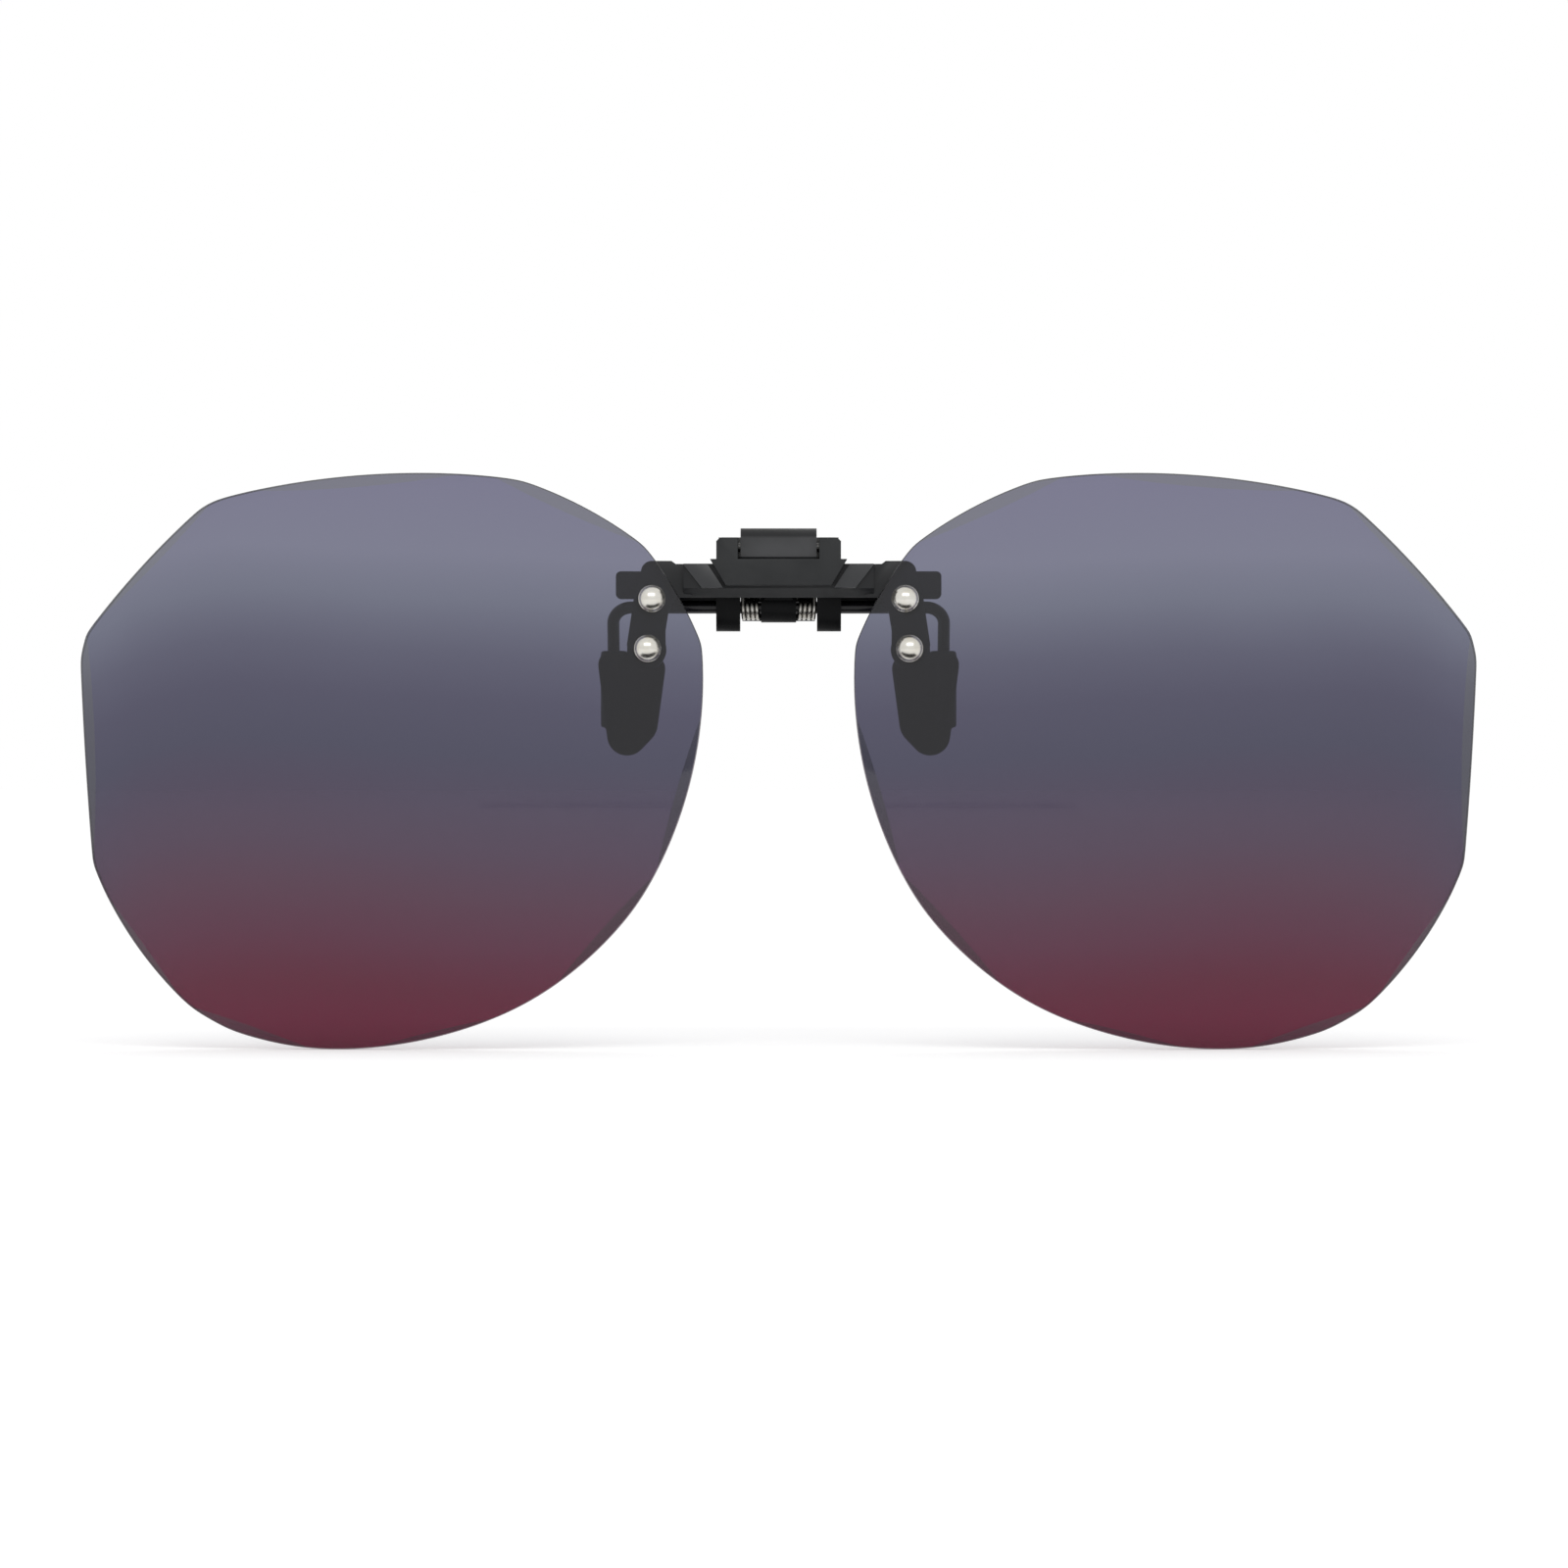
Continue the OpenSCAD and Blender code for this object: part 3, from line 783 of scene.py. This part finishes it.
def make_floor(level):
    """A pale floor, with just enough light of its own to be plain white."""
    width = 60
    given_back, own_light = 0.75, 0.27
    bpy.ops.mesh.primitive_plane_add(size=width, location=(0, 0, level))
    floor = bpy.context.object
    floor.name = "floor"
    material, _, bsdf = new_material("pale_floor")
    bsdf.inputs["Base Color"].default_value = (given_back, given_back, given_back, 1)
    bsdf.inputs["Roughness"].default_value = 0.9
    bsdf.inputs["Specular IOR Level"].default_value = 0.0
    bsdf.inputs["Emission Color"].default_value = (1, 1, 1, 1)
    bsdf.inputs["Emission Strength"].default_value = own_light
    floor.data.materials.append(material)


def make_dark_card():
    """A small black card below and in front of the rivets, which shows only in reflections.
    In the front view the lenses see it nearly edge on, and the rivets' domes see its face."""
    middle = (0, -0.0175, -0.0205)
    width, depth = 0.06, 0.016
    tilt = 3.3
    bpy.ops.mesh.primitive_plane_add(size=1, location=middle)
    card = bpy.context.object
    card.name = "dark_card"
    card.scale = (width, depth, 1)
    card.rotation_euler = (math.radians(tilt), 0, 0)
    material, _, bsdf = new_material("black_card")
    bsdf.inputs["Base Color"].default_value = (0.01, 0.01, 0.01, 1)
    bsdf.inputs["Specular IOR Level"].default_value = 0.0
    card.data.materials.append(material)
    card.visible_camera = card.visible_diffuse = card.visible_shadow = False
    card.visible_transmission = card.visible_volume_scatter = False


def make_world():
    """The same soft white all round."""
    world = bpy.data.worlds.new("studio")
    bpy.context.scene.world = world
    world.use_nodes = True
    background = world.node_tree.nodes["Background"]
    background.inputs["Color"].default_value = (1, 1, 1, 1)
    background.inputs["Strength"].default_value = 1.0


def make_stage():
    below = 0.02
    bpy.context.scene.view_settings.view_transform = "Standard"
    make_floor(CAD_LOW.z - below * MM)
    make_dark_card()
    make_world()
    area_light("key_strip", place_m=(0, -0.5, 0.38), target=(0, 0, 0), size=(0.5, 0.12), watts=1.0)


def make_camera():
    """A level view from straight in front, at about the height of the lenses' middle."""
    distance, view_width = 0.70, 0.1564
    lens_plane = -0.004
    aside, height = 0.00054, -0.0177
    data = bpy.data.cameras.new("camera")
    data.sensor_width = 36
    data.lens = data.sensor_width * distance / view_width
    data.clip_start, data.clip_end = 0.01, 100
    camera = bpy.data.objects.new("camera", data)
    camera.location = (aside, lens_plane - distance, height)
    camera.rotation_euler = (math.radians(90), 0, 0)
    bpy.context.scene.collection.objects.link(camera)
    bpy.context.scene.camera = camera


# --- Everything together ---


RAISED_Y = (-3.65, -3.45)  # the bridge's raised blocks stand out in front of this
SUNK_SHADE = 0.6  # painted shade: share of its colour that the bridge keeps where it is sunk behind them
# Share of its colour and shine that the clamp keeps by height, painted shade and light:
# nearly black below where it is in shade, palest at the foot of the centre knuckle's flat,
# which faces the light, and dark again over its rounded top, which faces away from it
BODY_SHADE_LEVELS = [(3.9, 0.12), (4.5, 1.0), (6.85, 0.75), (7.05, 0.4), (8.0, 0.35)]
# The same for the spring, painted shade: bright below, dark under the body where it is in shade
SPRING_SHADE_LEVELS = [(-1.4, 1.0), (-0.3, 0.9), (0.2, 0.12), (4.4, 0.1)]


def bridge_lacquer():
    # Painted shade: the bridge is darker where it is sunk behind its raised blocks
    return moulded(
        "bridge_lacquer", (0.013, 0.014, 0.016), (0.018, 0.019, 0.021), rough=0.36, shine=0.42,
        grain=9, grain_depth=0.002, wear=0.4,
        painted_shade=lambda tree: span(tree, by_depth(tree, *RAISED_Y), 0, 1, SUNK_SHADE, 1),
    )


def cover_plastic():
    return moulded(
        "cover_plastic", (0.006, 0.007, 0.008), (0.010, 0.011, 0.012), rough=0.44, shine=0.32,
        grain=8, grain_depth=0.004,
    )


def clamp_plastic():
    # Painted shade and light by height, in the share of colour and shine it keeps
    return moulded(
        "clamp_plastic", (0.032, 0.033, 0.035), (0.040, 0.041, 0.044), rough=0.42, shine=0.45,
        grain=8, grain_depth=0.004, painted_shade=lambda tree: by_height(tree, BODY_SHADE_LEVELS),
    )


def wire_lacquer():
    return moulded(
        "wire_lacquer", (0.004, 0.004, 0.005), (0.006, 0.006, 0.007), rough=0.2, shine=0.3,
        grain=3, grain_depth=0.002, wear=0.2,
    )


def pad_silicone():
    return moulded(
        "silicone", (0.010, 0.010, 0.011), (0.016, 0.016, 0.018), rough=0.5, shine=0.3,
        grain=5, grain_depth=0.004, wear=0.2,
    )


def spring_steel():
    # Painted shade: darker under the body
    return bright_metal(
        "spring_steel", (0.50, 0.49, 0.46), rough=0.24, scratch_stretch=(1, 1, 0.2),
        painted_shade=lambda tree: by_height(tree, SPRING_SHADE_LEVELS),
    )


def make_bridge():
    bridge = softened("bridge_formed", "bridge", 0.10)
    dress(bridge, "lens_carrier", "bridge", "bridge", bridge_lacquer())
    cover = softened("hinge_cover_moulded", "hinge_cover", 0.12)
    dress(cover, "lens_carrier", "cover", "hinge_cover", cover_plastic())


def make_clamp():
    plastic = clamp_plastic()
    body = softened("clamp_body_moulded", "clamp_body", 0.12)
    dress(body, "clamp", "body", "clamp_body", plastic)
    lever = softened("pinch_lever_moulded", "pinch_lever", 0.10)
    dress(lever, "rear_jaw", "body", "pinch_lever", plastic)


def make_pads():
    silicone = pad_silicone()
    for word in SIDES:
        front_pad = softened(f"front_pad_{word}_moulded", "front_pad_" + word, 0.25)
        dress(front_pad, "clamp", "pad", "front_pad_" + word, silicone)
        make_rear_pad(word, silicone)


def repaint_hidden(rivet_steel):
    """The small steel pieces keep their CAD meshes."""
    pin_steel = bright_metal("pin_steel", (0.10, 0.10, 0.10), rough=0.3, scratch_stretch=(0.1, 1, 1))
    for node in ("flip_pin", "detent_spring"):
        repaint(node, pin_steel)
    for level in ("upper", "lower"):
        for word in SIDES:
            repaint(f"washer_{level}_{word}", rivet_steel)


def repaint(node, material):
    """Gives a CAD node that stays on show its procedural material."""
    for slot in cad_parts[node].material_slots:
        slot.material = material


def main():
    make_camera()
    make_stage()
    shape = make_lenses()
    make_bridge()
    make_clamp()
    make_pads()
    make_jaw_wire(wire_lacquer())
    make_torsion_spring(spring_steel())
    rivet_steel = bright_metal("rivet_steel", (0.66, 0.645, 0.60), rough=0.2, scratch_stretch=(1, 1, 1))
    repaint_hidden(rivet_steel)
    make_rivets(shape, rivet_steel)


main()
